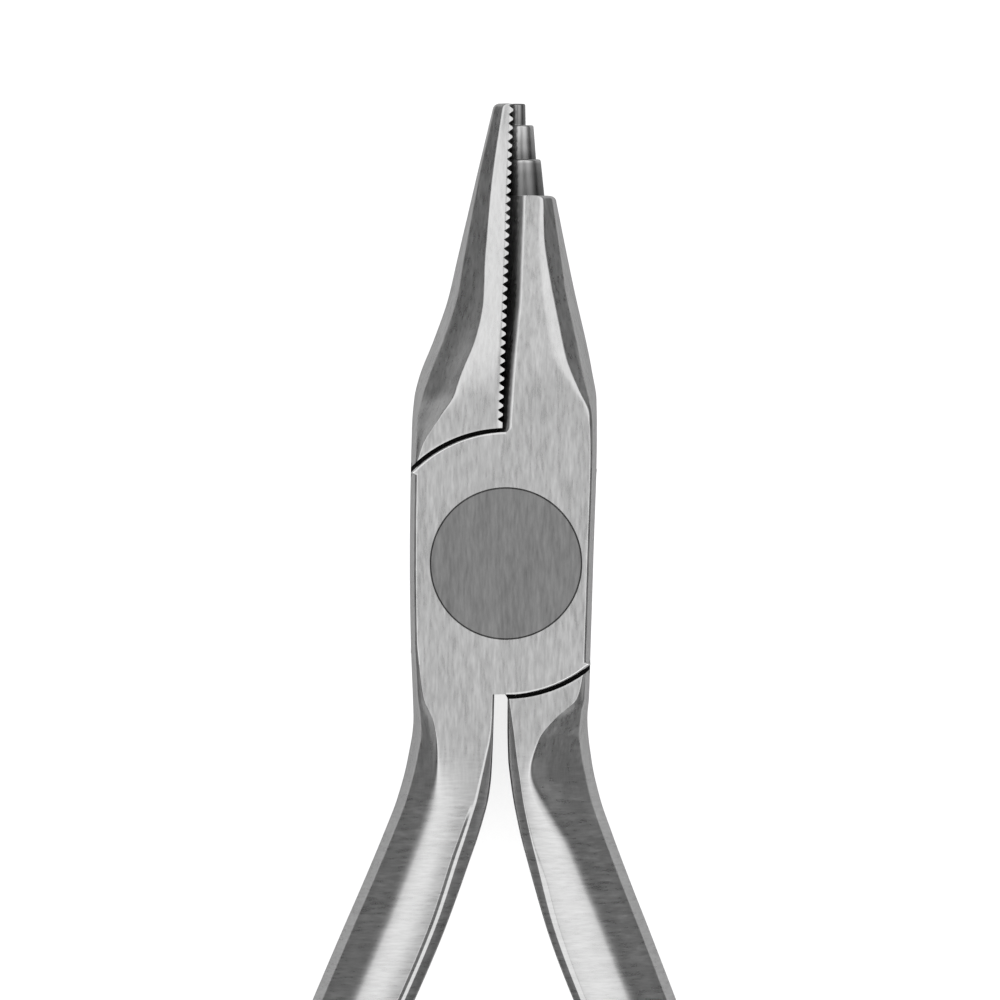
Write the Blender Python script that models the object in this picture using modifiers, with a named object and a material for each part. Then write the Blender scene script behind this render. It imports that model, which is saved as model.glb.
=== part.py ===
"""Orthodontic loop-forming pliers, closed, lying flat on their back.

Two forged levers cross in a half lap and turn on one riveted pin. The front lever carries the
stepped round beak and the left handle, the rear lever the serrated jaw and the right handle.
Sizes are in millimetres. The jaws point along +Y, the depth runs along +Z, and the origin is on
the axis of the pin, in the plane that the back of the joint lies in.
"""
import math

import bmesh
import bpy
import numpy as np
from mathutils import Matrix, Vector

MM = 0.001

# Lap joint
JOINT_DEPTH = 8.0
JOINT_LEFT = 6.08
JOINT_RIGHT = 5.7
PLATE_RADIUS = 8.22
SHOULDER_GAP = 0.25
LAP_GAP = 0.1
SIDE_CHAMFER = 0.45
SIDE_CHAMFER_END = 6.0
SIDE_SHARE = 0.67

# Pivot pin
HEAD_DIAMETER = 9.42
HEAD_DEPTH = 1.8
SHANK_DIAMETER = 6.0
RIVET_DIAMETER = 7.2
RIVET_DEPTH = 0.8
PIN_CLEARANCE = 0.06

# Jaws
JAW_REACH = 28.85
JAW_TIP_DEPTH = 2.3
JAW_MID_DEPTH = 3.6
JAW_ROOT_Y = 9.3
JAW_GAP = 0.1
JAW_CORNER = 0.3

# Serrated jaw of the rear lever
FACE_TIP_X = 0.34
FACE_ROOT_X = -0.2
SERRATED_TIP_WIDTH = 1.1
FACE_HOLLOW = 0.42
TOOTH_PITCH = 0.5625
TOOTH_DEPTH = 0.28

# Stepped beak of the front lever
BEAK_ROOT_X = 3.12
BEAK_SETBACK = 0.8
CROTCH_SETBACK = 0.34
STEP_LENGTHS = (2.3, 2.15, 1.35)
STEP_DIAMETERS = ((2.57, 2.27), (1.98, 1.77), (1.28, 1.22))
STEP_OVERLAP = 0.4

# Handles
HANDLE_REACH = 101.0
HANDLE_END_DEPTH = 6.6
OUTER_CROWN = 0.5
INNER_CROWN = 0.15
CREST_SHARE = 0.3
HANDLE_END_ROUND = 3.2
SLOT_HALF = 0.44
WAIST_HALF = 5.52
CENTRE_SHIFT = -0.14
CENTRE_LEAN = 0.0215
PALM_HALF_SPREAD = 23.2
PALM_WIDTH = 6.2
PALM_Y = -75.0
END_HALF_SPREAD = 20.8
END_WIDTH = 5.0

# How far a cutter runs past what it cuts
OVERRUN = 1.0
HOLLOW_OVERRUN = 0.06

# Fineness of the faceting
CIRCLE_STEPS = 96
CONE_STEPS = 32
ARC_STATIONS = 10

MID = JOINT_DEPTH / 2
POCKET_RADIUS = PLATE_RADIUS + SHOULDER_GAP
BEAK_ROOT_Y = JAW_REACH - sum(STEP_LENGTHS)

# Outlines of the jaws, as (share of the way up the jaw, distance inside the side of the joint)
SERRATED_FLANK = ((0.5, 2.97), (0.366, 2.33), (0.243, 1.48), (0.115, 0.51), (0.059, 0.27), (-0.049, 0.13))
STEPPED_FLANK = ((0.527, 1.87), (0.368, 1.19), (0.24, 0.6), (0.143, 0.22), (0.046, -0.05), (-0.051, -0.05))

# Outlines of the joint's two sides, as (y, distance inside the side of the joint)
LEFT_SIDE = ((0.0, 0.0), (-4.8, 0.06))
RIGHT_SIDE = ((0.0, 0.18), (-4.8, 0.33), (-8.5, 0.45))

# Bevels of the jaws, as (share of the way up the jaw, inset from the outline where the flat ends)
SERRATED_FACET = ((1.0, 0.42), (0.78, 0.95), (0.53, 1.7), (0.205, 2.7), (0.077, 2.6), (-0.005, 1.8),
                  (-0.107, 0.7))
STEPPED_FACET = ((0.7, 0.8), (0.527, 1.35), (0.368, 1.5), (0.205, 1.6), (0.082, 1.15), (0.0, 0.55))

# Strip along a jaw's widest line, and how far the beak's front edge has stood back from the teeth
JAW_STRIP = ((0.7, 0.35), (0.368, 0.62), (0.138, 0.65), (-0.015, 0.3))
SETBACK = ((0.368, 1.0), (0.24, 0.57), (0.115, 0.24), (-0.03, 0.0))

# Outline, slot and bevels of the handles, as (y, width in millimetres)
WAIST_SWEEP = ((-9.6, 0.0), (-12.3, 0.33), (-14.8, 0.94), (-16.7, 1.63), (-20.4, 3.1), (-22.9, 4.14))
SLOT_SWEEP = ((-10.4, 0.0), (-12.3, 0.055), (-13.5, 0.155), (-14.8, 0.335), (-16.0, 0.6), (-17.3, 0.94),
              (-18.5, 1.31), (-21.0, 2.09), (-23.2, 2.83))
SLOT_SHIFT = ((-8.5, 0.04), (-11.0, 0.01), (-14.8, 0.13), (-18.5, 0.07), (-23.2, 0.0))
PLATE_FACET = ((-5.0, 0.45), (-8.3, 0.7), (-9.8, 1.3), (-12.3, 1.95), (-15.0, 2.25), (-22.5, 2.6))
SCOOP_FACET = ((-6.6, 0.45), (-8.4, 0.8), (-9.8, 2.2), (-11.0, 3.2), (-13.2, 3.9), (-16.7, 3.3), (-22.5, 2.7))
HANDLE_STRIP = ((-8.5, 0.3), (-11.0, 0.62))
BROAD_INSIDE = ((-9.5, 0.0), (-10.8, 0.15), (-12.3, 0.5), (-14.2, 0.82), (-16.7, 1.05))
NARROW_INSIDE = ((-8.6, 0.05), (-11.0, 0.43), (-13.5, 0.57), (-16.7, 0.5))
CROWN_GROWTH = ((-11.0, 0.0), (-17.0, 0.6), (-26.0, 1.0))
BEVEL_SLOPE = 0.9

# Sweep of the handles below the waist, as shares of the palm's height and of its half spread
PALM_SWEEP = ((0.44, 0.59, 0.43), (0.6, 0.78, 0.68), (0.76, 0.925, 0.885), (0.88, 0.985, 0.97))


def through(points, y):
    """Smooth curve through (y, value) points that never swings past them, level beyond its ends."""
    table = sorted(points)
    at = np.array([p[0] for p in table], float)
    value = np.array([p[1] for p in table], float)
    gap = np.diff(at)
    slope = np.diff(value) / gap
    tangent = np.zeros(len(at))
    for i in range(1, len(at) - 1):
        if slope[i - 1] * slope[i] > 0:
            a = 2 * gap[i] + gap[i - 1]
            b = gap[i] + 2 * gap[i - 1]
            tangent[i] = (a + b) / (a / slope[i - 1] + b / slope[i])
    tangent[0], tangent[-1] = slope[0], slope[-1]
    if y <= at[0] or y >= at[-1]:
        return float(value[0] if y <= at[0] else value[-1])
    i = int(np.searchsorted(at, y, side="right")) - 1
    t = (y - at[i]) / gap[i]
    keep = (1 + 2 * t) * (1 - t) ** 2 * value[i] + t * t * (3 - 2 * t) * value[i + 1]
    return float(keep + gap[i] * t * (1 - t) * ((1 - t) * tangent[i] - t * tangent[i + 1]))


def face_x(y):
    """The plane of the tooth crests, from the root of the serrated jaw to its tip."""
    return FACE_ROOT_X + (FACE_TIP_X - FACE_ROOT_X) * (y - JAW_ROOT_Y) / (JAW_REACH - JAW_ROOT_Y)


def centre_line(y):
    """The line between the handles, which leans a little to the left on its way down."""
    return CENTRE_SHIFT + CENTRE_LEAN * y


def up_jaw(table):
    """The (share, value) points of a jaw as (y, value) points."""
    return [(JAW_ROOT_Y + share * (JAW_REACH - JAW_ROOT_Y), value) for share, value in table]


def left_side(y):
    """Left silhouette: flank of the serrated jaw, side of the joint, outside of the left handle."""
    tip = (JAW_REACH, SERRATED_TIP_WIDTH - FACE_TIP_X)
    sides = [(level, JOINT_LEFT - inset) for level, inset in [*up_jaw(SERRATED_FLANK), *LEFT_SIDE]]
    return -through([tip, *sides] + [(level, -x) for level, x in handle_outside(-1)], y)


def right_side(y):
    """Right silhouette: flank of the stepped jaw, side of the joint, outside of the right handle."""
    top = (BEAK_ROOT_Y, BEAK_ROOT_X)
    sides = [(level, JOINT_RIGHT - inset) for level, inset in [*up_jaw(STEPPED_FLANK), *RIGHT_SIDE]]
    return through([top, *sides] + handle_outside(1), y)


def handle_outside(side):
    """Outside of a handle as (y, x): waist, sweep, palm swell and drawn-in end."""
    sweep = [(level, WAIST_HALF + growth) for level, growth in WAIST_SWEEP]
    sweep += [(share * PALM_Y, outer * PALM_HALF_SPREAD) for share, outer, _ in PALM_SWEEP]
    sweep += [(PALM_Y, PALM_HALF_SPREAD), ((PALM_Y - HANDLE_REACH) / 2, 0.967 * PALM_HALF_SPREAD),
              (-HANDLE_REACH, END_HALF_SPREAD)]
    return [(level, centre_line(level) + side * half) for level, half in sweep]


def handle_inside(side, y):
    """Inside of a handle: straight beside the slot, then a palm's width inside the sweep."""
    palm = PALM_HALF_SPREAD - PALM_WIDTH
    sweep = [(0.0, SLOT_HALF)] + [(level, SLOT_HALF + growth) for level, growth in SLOT_SWEEP]
    sweep += [(share * PALM_Y, inner * palm) for share, _, inner in PALM_SWEEP]
    sweep += [(PALM_Y, palm), ((PALM_Y - HANDLE_REACH) / 2, 0.985 * palm),
              (-HANDLE_REACH, END_HALF_SPREAD - END_WIDTH)]
    middle = [(level, centre_line(level) + through(SLOT_SHIFT, level)) for level, _ in sweep]
    return through([(level, x + side * half) for (level, half), (_, x) in zip(sweep, middle)], y)


def corner(y, top):
    """How far a jaw's outer side has drawn in, a quarter circle below the top of the jaw."""
    over = max(JAW_CORNER - (top - y), 0.0)
    return JAW_CORNER - math.sqrt(JAW_CORNER ** 2 - over ** 2)


def half_depth(y):
    """Half the depth of a lever: full at the joint, thinning along the jaw and the handle."""
    points = [(JAW_REACH, JAW_TIP_DEPTH / 2), (BEAK_ROOT_Y, JAW_MID_DEPTH / 2), (JAW_ROOT_Y, MID),
              (PALM_Y, MID), (-HANDLE_REACH, HANDLE_END_DEPTH / 2)]
    return through(points, y)


def plain_wall():
    """Side profile of a sawn shoulder or of the slot: square to the face over its whole depth."""
    return ((0.0, 1.0), (0.0, 0.7), (0.0, 0.35), (0.0, 0.0))


def round_wall(bulge):
    """Side profile of a half-round face, as (inset, share of the half depth) from edge to middle."""
    return tuple((bulge * share ** 2, share) for share in (1.0, 0.7, 0.35, 0.0))


def outer_wall(y, facet, strip):
    """Side profile of an outer side: a hollow bevel below the flat front, then a narrow strip."""
    height = 1.0 - BEVEL_SLOPE * (facet - strip) / half_depth(y)
    middle = (0.57 * facet + 0.43 * strip, 0.5 + 0.5 * height)
    return ((facet, 1.0), middle, (strip, height), (0.0, 0.0))


def inside_wall(y, bevel):
    """Side profile of the inside of a handle: square at the slot, bevelled along the sweep."""
    facet = through(bevel, y)
    height = 0.97 - BEVEL_SLOPE * 0.8 * facet / half_depth(y)
    return ((facet, 1.0), (0.2 * facet, height), (0.05 * facet, 0.5 * height), (0.0, 0.0))


def arch(y, share):
    """Drop of a handle's rounded front at a share of its width from the inside, least at the crest."""
    growth = through(CROWN_GROWTH, y)
    if share < CREST_SHARE:
        return growth * INNER_CROWN * (1 - share / CREST_SHARE) ** 2
    return growth * OUTER_CROWN * ((share - CREST_SHARE) / (1 - CREST_SHARE)) ** 2


def section(y, left, right, left_walls, right_walls, outer):
    """One ring of a lever at y. A pair of walls holds the profiles of the front and back halves.
    The handle's outer side is on the left where outer is -1 and on the right where it is 1."""
    depth = half_depth(y)
    grow = end_scale(y)
    centre = (left + right) / 2
    drops = (arch(y, 1.0), arch(y, 0.0)) if outer < 0 else (arch(y, 0.0), arch(y, 1.0))
    half_rings = []
    for sign, left_wall, right_wall in zip((1.0, -1.0), left_walls, right_walls):
        start, end = left + left_wall[0][0], right - right_wall[0][0]
        row = [(left + inset, share * depth) for inset, share in reversed(left_wall)]
        row[-1] = (start, depth - drops[0])
        for t in (0.2, 0.4, 0.6, 0.8):
            row.append((start + (end - start) * t, depth - arch(y, 1 - t if outer < 0 else t)))
        row += [(right - inset, share * depth) for inset, share in right_wall]
        row[-len(right_wall)] = (end, depth - drops[1])
        half_rings.append([(x, sign * z) for x, z in row])
    front, back = half_rings
    return [(centre + (x - centre) * grow, y, MID + z * grow) for x, z in front + back[-2:0:-1]]


def end_scale(y):
    """Share of its full section that a handle keeps as its end rounds off."""
    into = (HANDLE_END_ROUND - (HANDLE_REACH + y)) / HANDLE_END_ROUND
    return math.sqrt(max(1.0 - max(into, 0.0) ** 2, 0.12))


def stations(top, extra):
    """Heights of a lever's rings, closer where the plan turns and evenly spaced on the lap arcs."""
    tip = top - JAW_CORNER * (1 - np.cos(np.linspace(0.0, 1.0, 4) * math.pi / 2))
    jaw = np.linspace(top - JAW_CORNER, POCKET_RADIUS + 0.1, 18)
    joint = PLATE_RADIUS * np.array([0.3, 0.0, -0.3])
    waist = np.linspace(-POCKET_RADIUS - 0.1, WAIST_SWEEP[-1][0], 14)
    palm = np.linspace(WAIST_SWEEP[-1][0], HANDLE_END_ROUND - HANDLE_REACH, 18)[1:-1]
    end = -HANDLE_REACH + HANDLE_END_ROUND * (1 - np.sin(np.linspace(0.2, 1.0, 5) * math.pi / 2))
    heights = np.concatenate([tip, jaw, joint, waist, palm, end, extra])
    return sorted(set(np.round(heights, 5)), reverse=True)


def arc_heights(start_x, end_x):
    """Heights of points evenly spaced on the plate's arc between two distances from the midline."""
    start = math.asin(start_x / PLATE_RADIUS)
    end = math.asin(end_x / PLATE_RADIUS)
    return PLATE_RADIUS * np.cos(np.linspace(start, end, ARC_STATIONS))


def arc_x(y):
    """Distance of the plate's arc from the midline at height y."""
    return math.sqrt(max(PLATE_RADIUS ** 2 - y * y, 0.0))


def jaw_walls(y, facet_table):
    """Front and back profiles of a jaw's outer side, down to the chamfer beside the joint."""
    joint = ((SIDE_CHAMFER_END, SIDE_CHAMFER), (-1.0, SIDE_CHAMFER))
    facet = through([*up_jaw(facet_table), *joint], y)
    strip = min(through(up_jaw(JAW_STRIP), y), SIDE_SHARE * facet)
    return (outer_wall(y, facet, strip),) * 2


def handle_walls(y, scooped):
    """Front and back profiles of a handle's outer side, scooped on the side of the other's plate."""
    strip = through(HANDLE_STRIP, y)
    plain = outer_wall(y, through(PLATE_FACET, y), strip)
    scoop = outer_wall(y, through(SCOOP_FACET, y), strip)
    return (scoop, plain) if scooped else (plain, scoop)


def front_lever_rings():
    """Rings of the front lever, from the root of the beak to the end of the left handle."""
    top_arc = arc_heights(0.05, JOINT_LEFT)
    low_arc = -arc_heights(-handle_inside(-1, -PLATE_RADIUS), JOINT_RIGHT - 0.3)
    rings = []
    for y in stations(BEAK_ROOT_Y, np.concatenate([top_arc, low_arc])):
        if y > top_arc[0]:
            nest = FACE_HOLLOW - JAW_GAP
            left = face_x(y) - nest
            share = through(up_jaw(SETBACK), y)
            left_walls = (round_wall(nest + CROTCH_SETBACK + share * (BEAK_SETBACK - CROTCH_SETBACK)),) * 2
        elif -left_side(y) > arc_x(y) and y > 0:
            left = -arc_x(y)
            left_walls = (plain_wall(),) * 2
        else:
            left = left_side(y)
            left_walls = handle_walls(y, False)
        if y < low_arc[0]:
            right = handle_inside(-1, y)
            right_walls = (inside_wall(y, BROAD_INSIDE), inside_wall(y, NARROW_INSIDE))
        elif y < 0 and right_side(y) > arc_x(y):
            right = arc_x(y)
            right_walls = (plain_wall(),) * 2
        else:
            right = right_side(y) - corner(y, BEAK_ROOT_Y)
            right_walls = jaw_walls(y, STEPPED_FACET)
        rings.append(section(y, left, right, left_walls, right_walls, -1))
    return rings


def rear_lever_rings():
    """Rings of the rear lever, from the tip of the serrated jaw to the end of the right handle."""
    top_arc = arc_heights(0.05, JOINT_RIGHT)
    low_arc = -arc_heights(0.05, JOINT_LEFT - 0.1)
    rings = []
    for y in stations(JAW_REACH, np.concatenate([top_arc, low_arc])):
        if y > top_arc[0]:
            right = face_x(y) + TOOTH_DEPTH
            right_walls = (plain_wall(),) * 2
        elif right_side(y) > arc_x(y) and y > 0:
            right = arc_x(y)
            right_walls = (plain_wall(),) * 2
        else:
            right = right_side(y)
            right_walls = handle_walls(y, True)
        if y < low_arc[0]:
            left = handle_inside(1, y)
            left_walls = (inside_wall(y, NARROW_INSIDE), inside_wall(y, BROAD_INSIDE))
        elif y < 0 and -left_side(y) > arc_x(y):
            left = -arc_x(y)
            left_walls = (plain_wall(),) * 2
        else:
            left = left_side(y) + corner(y, JAW_REACH)
            left_walls = jaw_walls(y, SERRATED_FACET)
        rings.append(section(y, left, right, left_walls, right_walls, 1))
    return rings


def collection(name):
    """A new collection linked to the scene."""
    made = bpy.data.collections.new(name)
    bpy.context.scene.collection.children.link(made)
    return made


def object_from(name, bm, into):
    """Turn a bmesh into an object, its faces outward and its curved faces smooth."""
    bmesh.ops.recalc_face_normals(bm, faces=bm.faces)
    mesh = bpy.data.meshes.new(name)
    bm.to_mesh(mesh)
    bm.free()
    mesh.shade_smooth()
    mesh.set_sharp_from_angle(angle=math.radians(25))
    made = bpy.data.objects.new(name, mesh)
    into.objects.link(made)
    return made


def skin_rows(bm, rows):
    """Triangles between rows that have the same number of vertices, and a fan over each end."""
    count = len(rows[0])
    for row, below in zip(rows, rows[1:]):
        for i in range(count):
            j = (i + 1) % count
            bm.faces.new((row[i], row[j], below[j], below[i]))
    for row in (rows[0], rows[-1]):
        middle = bm.verts.new(sum((v.co for v in row), Vector()) / count)
        for i in range(count):
            bm.faces.new((row[i], row[(i + 1) % count], middle))
    bmesh.ops.triangulate(bm, faces=bm.faces)


def loft(name, rings, into):
    """A closed solid skinned over rings that have the same number of points."""
    bm = bmesh.new()
    skin_rows(bm, [[bm.verts.new(Vector(point) * MM) for point in ring] for ring in rings])
    return object_from(name, bm, into)


def turned(name, profile, into):
    """A solid of revolution about the pivot axis, from (radius, height) points, top to bottom."""
    bm = bmesh.new()
    points = [bm.verts.new((radius * MM, 0, height * MM)) for radius, height in profile]
    for a, b in zip(points, points[1:]):
        bm.edges.new((a, b))
    mesh = bpy.data.meshes.new(name)
    bm.to_mesh(mesh)
    bm.free()
    made = bpy.data.objects.new(name, mesh)
    into.objects.link(made)
    screw = made.modifiers.new("Turn", "SCREW")
    screw.steps = CIRCLE_STEPS
    screw.render_steps = CIRCLE_STEPS
    screw.use_merge_vertices = True
    screw.merge_threshold = 0.000001
    screw.use_smooth_shade = False
    return made


def pin_profile():
    """Half outline of the pin: flush head, shank and flared rivet, top to bottom."""
    shank = SHANK_DIAMETER / 2
    head = HEAD_DIAMETER / 2
    shoulder = JOINT_DEPTH - HEAD_DEPTH
    return [(0.0, JOINT_DEPTH), (head, JOINT_DEPTH), (head, shoulder), (shank, shoulder),
            (shank, RIVET_DEPTH), (RIVET_DIAMETER / 2, 0.0), (0.0, 0.0)]


def front_lap_profile():
    """Half outline of what is turned out of the front lever: head seat, bore and rear pocket."""
    bore = SHANK_DIAMETER / 2 + PIN_CLEARANCE
    seat = HEAD_DIAMETER / 2 + PIN_CLEARANCE
    floor = JOINT_DEPTH - HEAD_DEPTH - PIN_CLEARANCE
    lap = MID + LAP_GAP / 2
    return [(0.0, JOINT_DEPTH + OVERRUN), (seat, JOINT_DEPTH + OVERRUN), (seat, floor), (bore, floor),
            (bore, lap), (POCKET_RADIUS, lap), (POCKET_RADIUS, -OVERRUN), (0.0, -OVERRUN)]


def rear_lap_profile():
    """Half outline of what is turned out of the rear lever: front pocket, bore and rivet sink."""
    bore = SHANK_DIAMETER / 2 + PIN_CLEARANCE
    sink = RIVET_DIAMETER / 2 + PIN_CLEARANCE
    lap = MID - LAP_GAP / 2
    return [(0.0, JOINT_DEPTH + OVERRUN), (POCKET_RADIUS, JOINT_DEPTH + OVERRUN), (POCKET_RADIUS, lap),
            (bore, lap), (bore, RIVET_DEPTH), (sink, 0.0), (sink, -OVERRUN), (0.0, -OVERRUN)]


def boolean(target, tool, operation):
    """Cut a tool out of the target, or join it on, and keep the tool as a hidden guide."""
    step = target.modifiers.new(tool.name, "BOOLEAN")
    step.operation = operation
    step.solver = "EXACT"
    step.object = tool
    tool.hide_render = True
    tool.display_type = "WIRE"


def tooth_comb(into):
    """Cutter for the serrated face: a block whose left side is a zigzag along the jaw and bulges
    across it, so that the teeth stand on a hollow face that takes the round beak."""
    foot = PLATE_RADIUS + SHOULDER_GAP / 2
    count = int((JAW_REACH - foot) / TOOTH_PITCH)
    edge = [(foot, 0.0)]
    for i in range(count, -3, -1):
        crest = JAW_REACH + (0.25 - i) * TOOTH_PITCH
        edge += [(crest, 0.0), (crest + TOOTH_PITCH / 2, TOOTH_DEPTH)]
    shares = [-1.0, -0.75, -0.5, -0.25, 0.0, 0.25, 0.5, 0.75, 1.0]
    bm = bmesh.new()
    rows = []
    for y, depth in edge:
        half = half_depth(y) + HOLLOW_OVERRUN
        levels = [(-MID - OVERRUN, 0.0)] + [(share * half, 1 - share ** 2) for share in shares]
        levels.append((MID + OVERRUN, 0.0))
        left = [bm.verts.new(Vector((face_x(y) - depth - FACE_HOLLOW * hollow, y, MID + z)) * MM)
                for z, hollow in levels]
        right = [bm.verts.new(Vector((FACE_TIP_X + OVERRUN, y, MID + z)) * MM)
                 for z in (MID + OVERRUN, -MID - OVERRUN)]
        rows.append(left + right)
    skin_rows(bm, rows)
    return object_from("tooth_comb", bm, into)


def beak_step(number, low, length, diameters, into):
    """One tapered round step that runs along the serrated face, sunk a little in what carries it."""
    nest = FACE_HOLLOW - JAW_GAP
    lower, upper = diameters
    taper = (upper - lower) / length
    start = low - STEP_OVERLAP
    lower -= taper * STEP_OVERLAP
    high = low + length
    foot = Vector((face_x(start) - nest + lower / 2, start, MID))
    head = Vector((face_x(high) - nest + upper / 2, high, MID))
    axis = head - foot
    turn = axis.to_track_quat("Z", "X").to_matrix().to_4x4()
    place = Matrix.Translation((foot + head) / 2 * MM) @ turn
    bm = bmesh.new()
    bmesh.ops.create_cone(bm, cap_ends=True, segments=CONE_STEPS, radius1=lower / 2 * MM,
                          radius2=upper / 2 * MM, depth=axis.length * MM, matrix=place)
    return object_from(f"beak_step_{number}", bm, into)


def steel(name, grey, roughness):
    """Brushed stainless steel."""
    made = bpy.data.materials.new(name)
    made.use_nodes = True
    shader = made.node_tree.nodes["Principled BSDF"]
    shader.inputs["Base Color"].default_value = (grey, grey, grey * 1.01, 1)
    shader.inputs["Roughness"].default_value = roughness
    shader.inputs["Metallic"].default_value = 1.0
    return made


def front_lever(parts, cutters):
    """Stepped beak, front half of the lap with the seat for the pin's head, and left handle."""
    lever = loft("front_lever", front_lever_rings(), parts)
    low = BEAK_ROOT_Y
    for number, (length, diameters) in enumerate(zip(STEP_LENGTHS, STEP_DIAMETERS)):
        boolean(lever, beak_step(number, low, length, diameters, cutters), "UNION")
        low += length
    boolean(lever, turned("front_lap", front_lap_profile(), cutters), "DIFFERENCE")
    return lever


def rear_lever(parts, cutters):
    """Serrated jaw, rear half of the lap with the countersink for the rivet, and right handle."""
    lever = loft("rear_lever", rear_lever_rings(), parts)
    boolean(lever, tooth_comb(cutters), "DIFFERENCE")
    boolean(lever, turned("rear_lap", rear_lap_profile(), cutters), "DIFFERENCE")
    return lever


def clear_scene():
    """Remove every object that the file holds."""
    for item in list(bpy.data.objects):
        bpy.data.objects.remove(item, do_unlink=True)


def main():
    clear_scene()
    parts = collection("orthodontic_pliers")
    cutters = collection("cutters")
    front = front_lever(parts, cutters)
    rear = rear_lever(parts, cutters)
    pin = turned("pivot_pin", pin_profile(), parts)
    satin = steel("satin_steel", 0.62, 0.34)
    front.data.materials.append(satin)
    rear.data.materials.append(satin)
    pin.data.materials.append(steel("turned_steel", 0.4, 0.4))
    turning = bpy.data.objects.new("turning_side", None)
    parts.objects.link(turning)
    for item in (rear, pin):
        item.parent = turning


main()
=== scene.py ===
# %% [markdown]
# # Orthodontic pliers in satin steel
# These are loop-forming pliers: two forged levers that cross in a half lap and turn on one riveted
# pin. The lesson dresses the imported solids. Each forging is skinned again as a fine grid of points,
# with the small rounded edges that catch the light, and its brushing is drawn by a shader.

# %% Load the frame
import math

import bmesh
import bpy
import numpy as np
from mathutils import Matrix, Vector


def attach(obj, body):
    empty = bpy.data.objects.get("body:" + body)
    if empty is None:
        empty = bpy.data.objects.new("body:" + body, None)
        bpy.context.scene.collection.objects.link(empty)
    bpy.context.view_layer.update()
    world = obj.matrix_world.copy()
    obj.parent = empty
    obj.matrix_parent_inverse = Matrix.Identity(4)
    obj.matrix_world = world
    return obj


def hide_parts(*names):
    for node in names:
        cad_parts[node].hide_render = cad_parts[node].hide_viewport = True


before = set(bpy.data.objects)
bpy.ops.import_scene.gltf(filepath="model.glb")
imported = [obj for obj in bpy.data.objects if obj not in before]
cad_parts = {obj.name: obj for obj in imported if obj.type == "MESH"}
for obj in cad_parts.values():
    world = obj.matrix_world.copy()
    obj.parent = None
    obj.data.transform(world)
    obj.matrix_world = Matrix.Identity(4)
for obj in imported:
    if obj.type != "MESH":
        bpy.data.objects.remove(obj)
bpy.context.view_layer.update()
MM = 0.001

# %% [markdown]
# ## Sizes
# The frame already fixes where every face has to be, so the lesson repeats the sizes that the
# forgings were drawn with instead of reading points back out of the solids. Millimetres are easier
# to read than metres here, and each mesh is scaled once, when it is made. The joint comes first,
# because jaws and handles both grow out of it.

# %% Sizes of the joint, in millimetres
JOINT_DEPTH = 8.0
MID = JOINT_DEPTH / 2
JOINT_LEFT = 6.08
JOINT_RIGHT = 5.7
PLATE_RADIUS = 8.22
POCKET_RADIUS = 8.47
LAP_GAP = 0.1
SIDE_CHAMFER = 0.45
SIDE_CHAMFER_TOP = 6.0
SIDE_CHAMFER_LOW = -1.0

# %% [markdown]
# ## Curves through a few points
# The outline of a forging is a handful of places that matter, with smooth stretches between them.
# A spline with free tangents would swing past a flat side, so the curve here is a monotone cubic:
# where the slopes on both sides of a point agree in sign it takes their weighted harmonic mean, and
# at a crest it is level.

# %% A monotone cubic through (y, value) points
def through(points, y):
    """Cubic Hermite curve whose tangents are the harmonic means of the neighbouring slopes."""
    table = np.array(sorted(points), float)
    at, value = table[:, 0], table[:, 1]
    gap = np.diff(at)
    slope = np.diff(value) / gap
    a = 2 * gap[1:] + gap[:-1]
    b = gap[1:] + 2 * gap[:-1]
    agree = slope[:-1] * slope[1:] > 0
    safe_low = np.where(agree, slope[:-1], 1.0)
    safe_high = np.where(agree, slope[1:], 1.0)
    inner = np.where(agree, (a + b) / (a / safe_low + b / safe_high), 0.0)
    tangent = np.concatenate([[slope[0]], inner, [slope[-1]]])
    y = np.clip(np.asarray(y, float), at[0], at[-1])
    i = np.clip(np.searchsorted(at, y, side="right") - 1, 0, len(gap) - 1)
    t = (y - at[i]) / gap[i]
    level = (1 + 2 * t) * (1 - t) ** 2 * value[i] + t * t * (3 - 2 * t) * value[i + 1]
    return level + gap[i] * t * (1 - t) * ((1 - t) * tangent[i] - t * tangent[i + 1])


# %% [markdown]
# ## Outline of the jaws
# A flank is drawn as insets from the side of the joint at shares of the way up the jaw, so that a
# longer jaw would keep its shape. The toothed face is the one straight line that both jaws share: the
# teeth end on it, and the round beak stands beside it.

# %% Jaws
JAW_REACH = 28.85
JAW_ROOT_Y = 9.3
JAW_TIP_LEFT = 0.76
JAW_CORNER = 0.3
FACE_TIP_X = 0.55
FACE_ROOT_X = -0.17
STEP_LENGTHS = (2.3, 2.15, 1.35)
BEAK_ROOT_X = 3.12
BEAK_ROOT_Y = JAW_REACH - sum(STEP_LENGTHS)
SERRATED_FLANK = ((0.5, 2.97), (0.366, 2.33), (0.243, 1.48), (0.115, 0.51), (0.059, 0.27), (-0.049, 0.13))
STEPPED_FLANK = ((0.527, 1.87), (0.368, 1.19), (0.24, 0.6), (0.143, 0.22), (0.046, -0.05), (-0.051, -0.05))


def up_jaw(table):
    """The (share of the way up the jaw, value) points as (y, value) points."""
    return [(JAW_ROOT_Y + share * (JAW_REACH - JAW_ROOT_Y), value) for share, value in table]


def face_x(y):
    """The plane of the tooth crests, a straight line from the root of the jaw to its tip."""
    share = (np.asarray(y) - JAW_ROOT_Y) / (JAW_REACH - JAW_ROOT_Y)
    return FACE_ROOT_X + (FACE_TIP_X - FACE_ROOT_X) * share


def corner(y, top):
    """How far a jaw's outer side has drawn in, a quarter circle below the top of the jaw."""
    over = np.maximum(JAW_CORNER - (top - y), 0.0)
    return JAW_CORNER - np.sqrt(JAW_CORNER ** 2 - over ** 2)


print("root of the round beak in mm:", round(BEAK_ROOT_Y, 2))

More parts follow.
